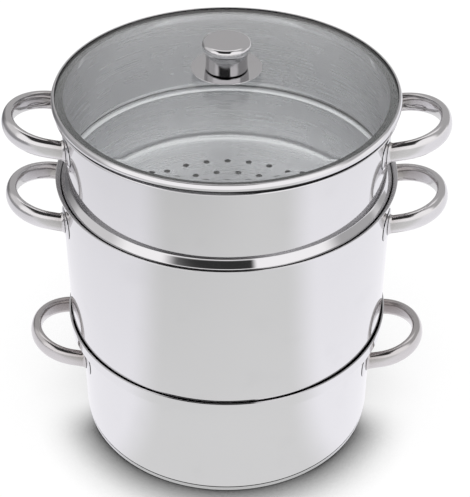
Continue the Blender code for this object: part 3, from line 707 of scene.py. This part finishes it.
def ring(outer, inner, low, high, fillet):
    """Outline of a flat ring with softened edges."""
    return solid_of([
        (outer, high, fillet), (outer, low, fillet), (inner, low, fillet), (inner, high, fillet)])


def along_spout(node):
    """Where a fitting of the spout starts and ends along +Y, and the matrix that lays it there."""
    low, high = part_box(node)
    place = Matrix.Translation((0.0, 0.0, (low.z + high.z) / 2))
    return low.y, high.y, place @ Matrix.Rotation(-math.pi / 2, 4, "X")


def spout():
    """The juice spout with its barb and shoulder, its two seals and its lock nut."""
    start, tip, turn = along_spout("juice_spout")
    shoulder = along_spout("spout_outer_seal")[1] + GAP
    outline = solid_of([
        (SPOUT_BORE, tip, EDGE_ROUND),
        (SPOUT_TUBE, tip, EDGE_ROUND),
        (SPOUT_BARB, tip - SPOUT_BARB_LENGTH, EDGE_ROUND / 2),
        (SPOUT_TUBE, tip - SPOUT_BARB_LENGTH, EDGE_ROUND / 2),
        (SPOUT_TUBE, shoulder + SPOUT_SHOULDER_THICKNESS, EDGE_ROUND * 2),
        (SPOUT_SHOULDER, shoulder + SPOUT_SHOULDER_THICKNESS, EDGE_ROUND),
        (SPOUT_SHOULDER, shoulder, EDGE_ROUND),
        (SPOUT_TUBE, shoulder, 0),
        (SPOUT_TUBE, start, EDGE_ROUND),
        (SPOUT_BORE, start, EDGE_ROUND)])
    show("spout_tube", turned_mesh("spout_tube", outline, SPOUT_STEPS), SATIN_PLAIN,
         "juice_collector", "juice_spout", matrix=turn)
    for name, node in (("outer_washer", "spout_outer_seal"), ("inner_washer", "spout_inner_seal")):
        low, high, turn = along_spout(node)
        outline = ring(SPOUT_SHOULDER, SPOUT_HOLE, low, high, EDGE_ROUND)
        show(name, turned_mesh(name, outline, SPOUT_STEPS), SILICONE,
             "juice_collector", node, matrix=turn)
    lock_nut()


def lock_nut():
    """The hexagonal nut on the spout's thread, with chamfered corners."""
    start, end, turn = along_spout("spout_lock_nut")
    bottom, top = level_range("spout_lock_nut")
    corner = (top - bottom) / 2
    bm = bmesh.new()
    bmesh.ops.create_cone(
        bm, cap_ends=True, segments=NUT_SIDES, radius1=corner, radius2=corner, depth=end - start)
    bmesh.ops.bevel(
        bm, geom=list(bm.edges), offset=EDGE_ROUND, segments=2, profile=0.5, affect="EDGES")
    mesh = bpy.data.meshes.new("hex_nut")
    bm.to_mesh(mesh)
    bm.free()
    middle = Matrix.Translation((0.0, (start + end) / 2, 0.0)) @ turn
    piece = show("hex_nut", mesh, SATIN_PLAIN, "juice_collector", "spout_lock_nut", matrix=middle)
    cut_with(piece, cylinders(
        "nut_bore", [(0.0, 0.0)], SPOUT_HOLE, SPOUT_CUT, SPOUT_STEPS, middle))


# Steamer basket

BEAD_INSET = 0.0004
BEAD_LIFT = 0.0001
BEAD_NOSE = 0.0013
BEAD_SLANT = 0.0007
BEAD_SHOULDER_RISE = 0.0066
BEAD_UNDERSIDE_FALL = 0.0028
BEAD_ROUND = 0.0005
BEAD_CREASE_ROUND = 0.0008
BASKET_CORNER = 0.008
FLANGE_DROP = 0.0044
FLANGE_STEP = 0.0029
FLANGE_LAND = 0.1268
FLANGE_ROUND = 0.0003
FLANGE_CORNER = 0.0009
HOLE_RADIUS = 0.0027
HOLE_CUT = 0.004
HOLE_PITCH = 0.0175
HOLE_RINGS = range(2, 6)
HOLES_PER_RING = 6


def hole_places():
    """Where the floor's holes are, in rings that gain six holes each."""
    places = []
    for number in HOLE_RINGS:
        count = HOLES_PER_RING * number
        for index in range(count):
            angle = 2 * math.pi * (index + 0.5) / count
            places.append(
                (number * HOLE_PITCH * math.cos(angle), number * HOLE_PITCH * math.sin(angle)))
    return places


def basket():
    """The basket with its flange, the bead that it hangs on, and its perforated floor."""
    floor, top = level_range("steamer_basket_body")
    seat = level_range("juice_collector_body")[1] + GAP
    flange_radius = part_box("steamer_basket_body")[1].x - SHEET
    flange_under = top - SHEET
    step_under = flange_under - FLANGE_STEP
    bead_radius = COLLECTOR_WALL - BEAD_INSET
    mouth = COLLECTOR_WALL - SHEET - GAP - BEAD_INSET
    outline = sheet([
        (flange_radius, top - FLANGE_DROP, 0),
        (flange_radius, step_under, FLANGE_ROUND),
        (FLANGE_LAND, step_under, FLANGE_ROUND),
        (FLANGE_LAND, flange_under, FLANGE_ROUND),
        (BASKET_WALL, flange_under, FLANGE_CORNER),
        (BASKET_WALL, seat + BEAD_SHOULDER_RISE, BEAD_CREASE_ROUND),
        (bead_radius - BEAD_SLANT, seat + BEAD_NOSE, BEAD_ROUND),
        (bead_radius, seat + BEAD_LIFT, BEAD_ROUND / 2),
        (mouth, seat, 0),
        (BASKET_WALL, seat - BEAD_UNDERSIDE_FALL, BEAD_ROUND),
        (BASKET_WALL, floor, BASKET_CORNER),
        (0.0, floor, 0)], SHEET, ends=(True, False))
    mesh = turned_mesh("basket_shell", outline, POT_STEPS)
    bm = bmesh.new()
    bm.from_mesh(mesh)
    for centre in [v for v in bm.verts if v.co.xy.length < ON_AXIS]:
        bmesh.ops.dissolve_verts(bm, verts=[centre])
    bm.to_mesh(mesh)
    bm.free()
    piece = show("basket_shell", mesh, VESSEL, "steamer_basket", "steamer_basket_body")
    raised = Matrix.Translation((0.0, 0.0, floor + SHEET / 2))
    cut_with(piece, cylinders(
        "floor_holes", hole_places(), HOLE_RADIUS, HOLE_CUT, HOLE_STEPS, raised))


# Lid

BAND_SHEET = 0.0005
BAND_LIP = 0.0026
BAND_SLOPE = 0.0013
BAND_BULGE = 0.0019
BAND_CURL = 0.0003
SKIRT_CLEARANCE = 0.0012
GLASS_THICKNESS = 0.003
GLASS_HOLE = 0.0045
DOME_STEPS = 20


def dome(edge, hole, crown, rise):
    """Points of a shallow dome from its crown's hole out to its edge."""
    sphere = (edge ** 2 + rise ** 2) / (2 * rise)
    points = []
    for step in range(DOME_STEPS + 1):
        radius = hole + (edge - hole) * step / DOME_STEPS
        points.append(Vector((radius, crown - sphere + math.sqrt(sphere ** 2 - radius ** 2))))
    return points


def lid():
    """The domed glass and the steel band that grips its edge."""
    glass_low, glass_top = level_range("lid_glass")
    glass_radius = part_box("lid_glass")[1].x
    band_low, band_top = level_range("lid_rim_band")
    band_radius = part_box("lid_rim_band")[1].x
    edge_top = glass_low + GLASS_THICKNESS
    top = dome(band_radius - BAND_LIP - GAP, GLASS_HOLE, glass_top, glass_top - edge_top)
    under = [point - Vector((0.0, GLASS_THICKNESS)) for point in top]
    edge = rounded([
        (top[-1].x, edge_top, 0),
        (glass_radius - BAND_SLOPE, edge_top, EDGE_ROUND * 2),
        (glass_radius, glass_low, EDGE_ROUND * 2),
        (top[-1].x, glass_low, 0)])
    outline = top + edge[1:-1] + under[::-1]
    show("glass_dome", turned_mesh("glass_dome", outline, POT_STEPS), GLASS, "lid", "lid_glass")

    seat = glass_low - GAP - BAND_SHEET
    lip = band_radius - BAND_LIP
    skirt = BASKET_WALL - SHEET - SKIRT_CLEARANCE
    fine = BAND_SHEET / 3
    band = supported(rounded([
        (lip, band_top, fine),
        (band_radius - BAND_SLOPE, band_top, fine * 4),
        (band_radius, seat + BAND_BULGE, BAND_BULGE),
        (band_radius, seat + BAND_CURL, fine),
        (band_radius - BAND_CURL, seat, fine),
        (skirt, seat, fine),
        (skirt, band_low, fine),
        (skirt - BAND_SHEET, band_low, fine),
        (skirt - BAND_SHEET, seat + BAND_SHEET, fine * 2),
        (band_radius - BAND_SHEET, seat + BAND_SHEET, fine),
        (band_radius - BAND_SLOPE - BAND_SHEET / 2, band_top - BAND_SHEET, fine),
        (lip, band_top - BAND_SHEET, fine)], closed=True), closed=True)
    show("rim_band", turned_mesh("rim_band", band, POT_STEPS), MIRROR, "lid", "lid_rim_band")


# Knob

KNOB_SHEET = 0.0008
SAUCER_SHEET = 0.0006
SAUCER_WELL = 0.016
KNOB_FOOT = 0.0158
KNOB_FOOT_ROUND = 0.0012
KNOB_WAIST = 0.0154
KNOB_WAIST_RISE = 0.0085
KNOB_WAIST_ROUND = 0.03
KNOB_NECK = 0.0166
CAP_ROUND = 0.0032
CAP_TUCK = 0.0004
CAP_TUCK_HEIGHT = 0.0014
SCREW_BORE = 0.0029
SCREW_RADIUS = 0.0025
SCREW_HEAD_HEIGHT = 0.0028
SLOT_WIDTH = 0.0012
SLOT_DEPTH = 0.0012


def knob():
    """The hollow knob with its cap, on a dished saucer."""
    saucer_low, saucer_top = level_range("lid_knob_saucer")
    saucer_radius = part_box("lid_knob_saucer")[1].x
    saucer = sheet([
        (saucer_radius, saucer_top - SAUCER_SHEET, 0),
        (SAUCER_WELL, saucer_low, SAUCER_SHEET * 4),
        (SCREW_BORE, saucer_low, 0)], SAUCER_SHEET, ends=(True, True))
    body_low, body_top = level_range("lid_knob_body")
    body = sheet([
        (KNOB_NECK, body_top, 0),
        (KNOB_WAIST, body_low + KNOB_WAIST_RISE, KNOB_WAIST_ROUND),
        (KNOB_FOOT, body_low, KNOB_FOOT_ROUND),
        (SCREW_BORE, body_low, 0)], KNOB_SHEET, ends=(True, True))
    cap_low, cap_top = level_range("lid_knob_cap")
    cap_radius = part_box("lid_knob_cap")[1].x
    cap = sheet([
        (0.0, cap_top, 0),
        (cap_radius, cap_top, CAP_ROUND),
        (cap_radius, cap_low + CAP_TUCK_HEIGHT, CAP_TUCK_HEIGHT * 2),
        (cap_radius - CAP_TUCK, cap_low, 0)], KNOB_SHEET, ends=(False, True))
    for name, outline, material, node in (
            ("knob_saucer", saucer, KNOB_STEEL, "lid_knob_saucer"),
            ("knob_body", body, KNOB_SIDE_PAINTED_SHADE, "lid_knob_body"),
            ("knob_cap", cap, KNOB_STEEL, "lid_knob_cap")):
        show(name, turned_mesh(name, outline, KNOB_STEPS), material, "lid", node)


def knob_fixings():
    """The threaded insert, screw and washers that hold the knob to the glass."""
    insert_low, insert_top = level_range("lid_knob_insert")
    insert_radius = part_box("lid_knob_insert")[1].x
    screw_low, screw_top = level_range("lid_knob_screw")
    head_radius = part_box("lid_knob_screw")[1].x
    insert = solid_of([
        (0.0, insert_top, 0), (insert_radius, insert_top, EDGE_ROUND),
        (insert_radius, insert_low, EDGE_ROUND), (SCREW_BORE, insert_low, 0),
        (SCREW_BORE, screw_top + GAP, 0), (0.0, screw_top + GAP, 0)])
    show("knob_insert", turned_mesh("knob_insert", insert, KNOB_STEPS), BRASS,
         "lid", "lid_knob_insert")
    head_top = screw_low + SCREW_HEAD_HEIGHT
    screw = solid_of([
        (0.0, screw_top, 0), (SCREW_RADIUS, screw_top, EDGE_ROUND),
        (SCREW_RADIUS, head_top, 0), (head_radius, head_top, EDGE_ROUND / 2),
        (head_radius, screw_low, EDGE_ROUND * 3), (0.0, screw_low, 0)])
    piece = show("knob_screw", turned_mesh("knob_screw", screw, KNOB_STEPS), SATIN,
                 "lid", "lid_knob_screw")
    bm = bmesh.new()
    place = Matrix.Translation((0.0, 0.0, screw_low))
    size = Matrix.Diagonal((3 * head_radius, SLOT_WIDTH, 2 * SLOT_DEPTH, 1.0))
    bmesh.ops.create_cube(bm, size=1.0, matrix=place @ size)
    cut_with(piece, object_from("slot", bm))
    for name, node, material in (
            ("upper_washer", "lid_knob_upper_seal", SILICONE),
            ("lower_washer", "lid_knob_lower_seal", SILICONE),
            ("steel_washer", "lid_knob_steel_washer", SATIN)):
        low, high = level_range(node)
        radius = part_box(node)[1].x
        outline = ring(radius, SCREW_BORE, low, high, EDGE_ROUND / 2)
        show(name, turned_mesh(name, outline, KNOB_STEPS), material, "lid", node)


# Handles and their plates

PAN_REACH = 0.0457
COLLECTOR_REACH = 0.0462
BASKET_REACH = 0.0479
HANDLE_WIDTH = 0.009
HANDLE_HEIGHT = 0.0157
HANDLE_SPREAD = 0.069
HANDLE_TILT = math.radians(11)
SECTION_STEPS = 48
SECTION_POWER = 2.15
LOOP_STEPS = 64
WELD_FLARE = 0.0012
WELD_LENGTH = 0.0026
WELD_POWER = 2.2
FOOT_SHARES = (0.0, 0.05, 0.12, 0.22, 0.36, 0.55, 0.78, 1.0)
PLATE_SHEET = 0.0009
PLATE_WIDTH = 0.028
PLATE_HEIGHT = 0.022
PLATE_CORNER = 0.0098
PLATE_CELL = 0.00055
PLATE_EDGE = 0.0002
PLATE_EASE = 0.0025
SPOT_RADIUS = 0.0019
SPOT_DEPTH = 0.0002
SPOT_PLACE = 0.0098
PLATE_STRAIGHT_WIDTH = PLATE_WIDTH / 2 - PLATE_CORNER
PLATE_STRAIGHT_HEIGHT = PLATE_HEIGHT / 2 - PLATE_CORNER


def section_point(angle, swell):
    """A point of the handle's rounded oval section, sideways and up, at an angle."""
    power = 2 / SECTION_POWER
    side = math.copysign(abs(math.cos(angle)) ** power, math.cos(angle))
    up = math.copysign(abs(math.sin(angle)) ** power, math.sin(angle))
    return side * (HANDLE_WIDTH / 2 + swell), up * (HANDLE_HEIGHT / 2 + swell)


def handle_mesh(name, wall, reach):
    """A loop handle at +X, tilted up from its plates, with a small weld fillet round each foot."""
    loop = HANDLE_SPREAD / 2
    centre = wall + reach - HANDLE_WIDTH / 2 - loop
    seat = wall + GAP + PLATE_SHEET + GAP
    foot = math.sqrt(seat ** 2 - loop ** 2)
    angles = [2 * math.pi * step / SECTION_STEPS for step in range(SECTION_STEPS)]
    rise, run = math.sin(HANDLE_TILT), math.cos(HANDLE_TILT)

    def tilted(distance, y, up):
        """A point of the untilted loop, turned up about the line between its feet."""
        away = distance - foot
        return foot + away * run - up * rise, y, away * rise + up * run

    def foot_ring(side, share):
        """A ring beside the plate, shaped to it, at a share of the weld's length."""
        swell = WELD_FLARE * (1 - share) ** WELD_POWER
        places = []
        for angle in angles:
            across, up = section_point(angle, swell)
            y = side * (loop + across)
            x = math.sqrt(seat ** 2 - y ** 2) + share * WELD_LENGTH
            places.append(tilted(foot + (x - foot + up * rise) / run, y, up))
        return places

    rings = [foot_ring(-1, share) for share in FOOT_SHARES]
    for step in range(LOOP_STEPS + 1):
        turn = math.pi * (step / LOOP_STEPS - 0.5)
        places = []
        for angle in angles:
            across, up = section_point(angle, 0.0)
            distance = loop + across
            places.append(
                tilted(centre + distance * math.cos(turn), distance * math.sin(turn), up))
        rings.append(places)
    rings += [foot_ring(1, share) for share in FOOT_SHARES[::-1]]
    vertices = [place for places in rings for place in places]
    last = len(vertices) - SECTION_STEPS
    faces = [list(range(SECTION_STEPS)), list(range(last, len(vertices)))]
    for here in range(0, last, SECTION_STEPS):
        there = here + SECTION_STEPS
        for step in range(SECTION_STEPS):
            nxt = (step + 1) % SECTION_STEPS
            faces.append([here + step, here + nxt, there + nxt, there + step])
    return mesh_from(name, vertices, faces)


def corner_rounded(across, up):
    """A place on a square plate, drawn in where the corner is rounded off."""
    beyond = past_straight(across, up)
    if min(beyond) > 0:
        inward = max(beyond) / beyond.length
        across = math.copysign(PLATE_STRAIGHT_WIDTH + beyond.x * inward, across)
        up = math.copysign(PLATE_STRAIGHT_HEIGHT + beyond.y * inward, up)
    return across, up


def past_straight(across, up):
    """How far a place on a plate lies past the straight parts of its sides, both ways."""
    return Vector((
        max(abs(across) - PLATE_STRAIGHT_WIDTH, 0.0), max(abs(up) - PLATE_STRAIGHT_HEIGHT, 0.0)))


def drawn_back(across, up):
    """How far a plate's outer face is drawn back, most at its edge and a little at its welds."""
    inner = min(max(PLATE_CORNER - past_straight(across, up).length, 0.0) / PLATE_EASE, 1.0)
    depth = (PLATE_SHEET - PLATE_EDGE) * (1 - math.sin(inner * math.pi / 2))
    for spot in (-SPOT_PLACE, SPOT_PLACE):
        away = math.hypot(across - spot, up) / SPOT_RADIUS
        if away < 1:
            depth += SPOT_DEPTH * (1 - away ** 2) ** 2
    return depth


def plate_mesh(name, wall):
    """A weld plate at +X, curved to lie on the wall, with eased edges and two spot welds."""
    face = wall + GAP
    bm = bmesh.new()
    bmesh.ops.create_grid(
        bm, x_segments=round(PLATE_WIDTH / PLATE_CELL),
        y_segments=round(PLATE_HEIGHT / PLATE_CELL), size=0.5,
        matrix=Matrix.Diagonal((PLATE_WIDTH, PLATE_HEIGHT, 1.0, 1.0)))
    for v in bm.verts:
        across, up = corner_rounded(v.co.x, v.co.y)
        v.co = (face * math.cos(across / face), face * math.sin(across / face), up)
    holder = object_from(name, bm)
    shell = holder.modifiers.new("thickness", "SOLIDIFY")
    shell.thickness = PLATE_SHEET
    shell.offset = 1.0
    made = applied(holder)
    bpy.data.objects.remove(holder, do_unlink=True)
    for v in made.vertices:
        radius = v.co.xy.length
        if radius > face + PLATE_SHEET / 2:
            across = math.atan2(v.co.y, v.co.x) * face
            v.co.xy *= (radius - drawn_back(across, v.co.z)) / radius
    shade(made)
    return made


def handles(tier, wall, reach, short, material):
    """A tier's two handles with the plates behind them."""
    low, high = level_range(tier + "_plate_right_front")
    level = (low + high) / 2
    loop = handle_mesh(short + "_loop", wall, reach)
    plate = plate_mesh(short + "_plate", wall)
    leg = math.asin(HANDLE_SPREAD / 2 / wall)
    for side, turn, front in (("right", 0.0, -1), ("left", math.pi, 1)):
        place = Matrix.Translation((0.0, 0.0, level)) @ Matrix.Rotation(turn, 4, "Z")
        show("%s_loop_%s" % (short, side), loop.copy(), material, tier,
             "%s_handle_%s" % (tier, side), matrix=place)
        for where, way in (("front", front), ("back", -front)):
            spun = place @ Matrix.Rotation(way * leg, 4, "Z")
            show("%s_pad_%s_%s" % (short, side, where), plate.copy(), PLATE_STEEL, tier,
                 "%s_plate_%s_%s" % (tier, side, where), matrix=spun)


# Floor, with regions by place, angle from the front and distance from the axis

FLOOR_SIZE = 8.0
PAPER_COLOURS = ((0.93, 0.93, 0.935), (0.95, 0.95, 0.95))
PAPER_GRAIN_SCALE = 60.0

# Floor as metal mirrors it
RIGHT_HALF = (("x", -0.2, 0.2),)
LEFT_WHITE = (0.98, 0.97, 1.005)
RIGHT_WHITE = (1.01, 1.0, 1.035)
BESIDE = (("angle", math.radians(34), math.radians(57)),)
FRONT_GREY = (0.785, 0.785, 0.78)
BEHIND = (("angle", math.radians(138), math.radians(150)),)
BACK_GREY = (0.84, 0.84, 0.85)
FADE_DISTANCES = (0.19, 0.55)
FADED_LEFT = 0.84
FADED_RIGHT = 0.93
FAR_BACK = (("angle", math.radians(112), math.radians(132)), ("distance", 0.5, 0.75),
            ("x", 0.2, -0.2))
FAR_BACK_LOSS = 0.52
FAR_LEFT = (("x", -0.25, -0.5), ("distance", 0.75, 1.05),
            ("angle", math.radians(40), math.radians(55)))
FAR_LEFT_LOSS = 0.6

# Floor as the camera sees it, with the shadow that the pan casts close round its foot
CONTACT_REACH = 0.05
CONTACT_OPENNESS = (0.49, 0.945)
CONTACT_DARKEST = 0.03
CONTACT_SAMPLES = 8
SHADE_ANGLES = (math.radians(62), math.radians(83))
SHADE_LEAST = 0.1
PAPER_TONE = (0.3, 0.3, 0.3)
PAPER_LIFT = 2.45


def round_the_front(tree, direction):
    """The coordinates of a place or direction, and its angle from the front, from 0 to pi."""
    x, y, z = tree.add("ShaderNodeSeparateXYZ", {0: direction}).outputs
    turn = tree.maths("ARCTAN2", x, tree.maths("MULTIPLY", y, -1.0))
    return {"x": x, "y": y, "z": z, "angle": tree.maths("ABSOLUTE", turn)}


def mirrored_floor(tree, axes):
    """What metal sees: studio paper that is greyer in front and behind and darker far away."""
    right = tree.region(axes, RIGHT_HALF)
    colour = tree.mix_colour(right, LEFT_WHITE, RIGHT_WHITE)
    colour = tree.mix_colour(tree.region(axes, BESIDE), FRONT_GREY, colour)
    colour = tree.mix_colour(tree.region(axes, BEHIND), colour, BACK_GREY)
    faded = tree.blend(right, FADED_LEFT, FADED_RIGHT)
    strength = tree.ramp(axes["distance"], *FADE_DISTANCES, 1.0, faded, "LINEAR")
    for region, loss in ((FAR_BACK, FAR_BACK_LOSS), (FAR_LEFT, FAR_LEFT_LOSS)):
        kept = tree.maths("MULTIPLY_ADD", tree.region(axes, region), -loss, 1.0)
        strength = tree.maths("MULTIPLY", strength, kept)
    return tree.add("ShaderNodeEmission", {"Color": colour, "Strength": strength})


def seen_floor(tree, axes):
    """What the camera sees: white paper with a shadow round the foot, faint towards the back."""
    contact = tree.ramp(
        tree.openness(CONTACT_REACH, CONTACT_SAMPLES), *CONTACT_OPENNESS, CONTACT_DARKEST, 1.0,
        "LINEAR")
    nearer = tree.ramp(axes["angle"], *SHADE_ANGLES, 1.0, SHADE_LEAST)
    shaded = tree.mix_colour(tree.blend(nearer, 1.0, contact), (0.0, 0.0, 0.0), PAPER_TONE)
    lit = tree.add("ShaderNodeBsdfDiffuse", {"Color": shaded})
    lift = tree.add("ShaderNodeEmission", {"Color": shaded, "Strength": PAPER_LIFT})
    return tree.add("ShaderNodeAddShader", {0: lit.outputs[0], 1: lift.outputs[0]})


def floor():
    """A plain white floor of studio paper."""
    bpy.ops.mesh.primitive_plane_add(size=FLOOR_SIZE)
    plane = bpy.context.object
    plane.name = "studio_floor"
    material, tree = new_material("studio_paper")
    path = tree.add("ShaderNodeLightPath").outputs
    spot = tree.add("ShaderNodeTexCoord").outputs["Object"]
    axes = round_the_front(tree, spot)
    length = tree.add("ShaderNodeVectorMath", {0: spot}, operation="LENGTH")
    axes["distance"] = length.outputs["Value"]
    grain = tree.noise(spot, PAPER_GRAIN_SCALE, 3.0)
    paper = tree.add("ShaderNodeBsdfDiffuse", {"Color": tree.mix_colour(grain, *PAPER_COLOURS)})
    camera_seen = tree.add("ShaderNodeMixShader", {
        0: path["Is Camera Ray"], 1: paper.outputs[0], 2: seen_floor(tree, axes).outputs[0]})
    tree.finish("ShaderNodeOutputMaterial", tree.add("ShaderNodeMixShader", {
        0: path["Is Glossy Ray"], 1: camera_seen.outputs[0],
        2: mirrored_floor(tree, axes).outputs[0]}))
    plane.data.materials.append(material)


# Surroundings, with regions by direction

FRONT_TONE = 1.07
REAR = (("y", -0.38, -0.14),)
REAR_TONE = 0.45
PANEL = (("x", -0.2, -0.45), ("z", 0.02, 0.12), ("y", 0.48, 0.3))
PANEL_TONE = 0.71
LOW_RIGHT = (("x", 0.2, 0.45), ("z", 0.16, 0.06), ("y", 0.5, 0.3))
LOW_RIGHT_TONE = 1.0
LOW_LEFT = (("x", -0.4, -0.7), ("y", 0.4, 0.6), ("z", 0.36, 0.18))
LOW_LEFT_TONE = 0.24
HIGH_BACK = (("z", 0.75, 0.88), ("y", 0.1, 0.25))
HIGH_BACK_TONE = 1.05
WALL_TINT = (1.012, 0.996, 1.0)
OVERHEAD_GAP = (("x", -0.62, -0.45), ("x", 0.31, 0.24), ("y", -0.92, -0.84), ("y", 0.25, 0.05),
                ("z", 0.42, 0.56))
GAP_COLOUR = (0.035, 0.035, 0.035)
THROUGH_GLASS = (1.05, 1.05, 1.06)
WHITE = (1.0, 1.0, 1.0)
SKY_STRENGTH = 0.42
OVERHEAD_STRENGTH = 0.62 * math.pi
OVERHEAD_WIDTH = math.radians(70)
OVERHEAD_TILT = math.radians(12)
MIRROR_BOUNCES = 12


def surroundings():
    """White walls of light in front, greyer ones behind, and a dark gap in the light overhead."""
    world = bpy.data.worlds.new("studio")
    bpy.context.scene.world = world
    world.use_nodes = True
    tree = Tree(world.node_tree)
    path = tree.add("ShaderNodeLightPath").outputs
    axes = round_the_front(tree, tree.add("ShaderNodeTexCoord").outputs["Generated"])
    rear = tree.blend(tree.region(axes, PANEL), REAR_TONE, PANEL_TONE)
    tone = tree.blend(tree.region(axes, REAR), FRONT_TONE, rear)
    for region, region_tone in (
            (LOW_RIGHT, LOW_RIGHT_TONE), (LOW_LEFT, LOW_LEFT_TONE), (HIGH_BACK, HIGH_BACK_TONE)):
        tone = tree.blend(tree.region(axes, region), tone, region_tone)
    walls = tree.scale_colour(WALL_TINT, tone)
    mirrored = tree.mix_colour(tree.region(axes, OVERHEAD_GAP), walls, GAP_COLOUR)
    mirrored = tree.mix_colour(path["Is Transmission Ray"], mirrored, THROUGH_GLASS)
    by_metal = tree.maths("MAXIMUM", path["Is Glossy Ray"], path["Is Transmission Ray"])
    shown = tree.maths("MAXIMUM", by_metal, path["Is Camera Ray"])
    sky = tree.add("ShaderNodeBackground", {"Color": WHITE, "Strength": SKY_STRENGTH})
    backdrop = tree.add("ShaderNodeBackground", {
        "Color": tree.mix_colour(by_metal, WHITE, mirrored), "Strength": 1.0})
    tree.finish("ShaderNodeOutputWorld", tree.add("ShaderNodeMixShader", {
        0: shown, 1: sky.outputs[0], 2: backdrop.outputs[0]}))


def overhead_light():
    """A very wide soft light from above the front, which metal and glass don't mirror."""
    data = bpy.data.lights.new("overhead", "SUN")
    data.energy = OVERHEAD_STRENGTH
    data.angle = OVERHEAD_WIDTH
    lamp = bpy.data.objects.new("overhead", data)
    lamp.rotation_euler = (OVERHEAD_TILT, 0.0, 0.0)
    lamp.visible_glossy = False
    lamp.visible_transmission = False
    bpy.context.scene.collection.objects.link(lamp)


def studio():
    """Floor, surroundings, light and the way colours are shown."""
    floor()
    surroundings()
    overhead_light()
    scene = bpy.context.scene
    scene.view_settings.view_transform = "Standard"
    scene.cycles.glossy_bounces = MIRROR_BOUNCES


place_camera()
water_pan()
collector_shell()
steam_funnel()
spout()
basket()
lid()
knob()
knob_fixings()
handles("water_pan", PAN_WALL, PAN_REACH, "pan", PAN_HANDLE_SHADED_STEEL)
handles("juice_collector", COLLECTOR_WALL, COLLECTOR_REACH, "collector", HANDLE_STEEL)
handles("steamer_basket", BASKET_WALL, BASKET_REACH, "basket", HANDLE_STEEL)
studio()
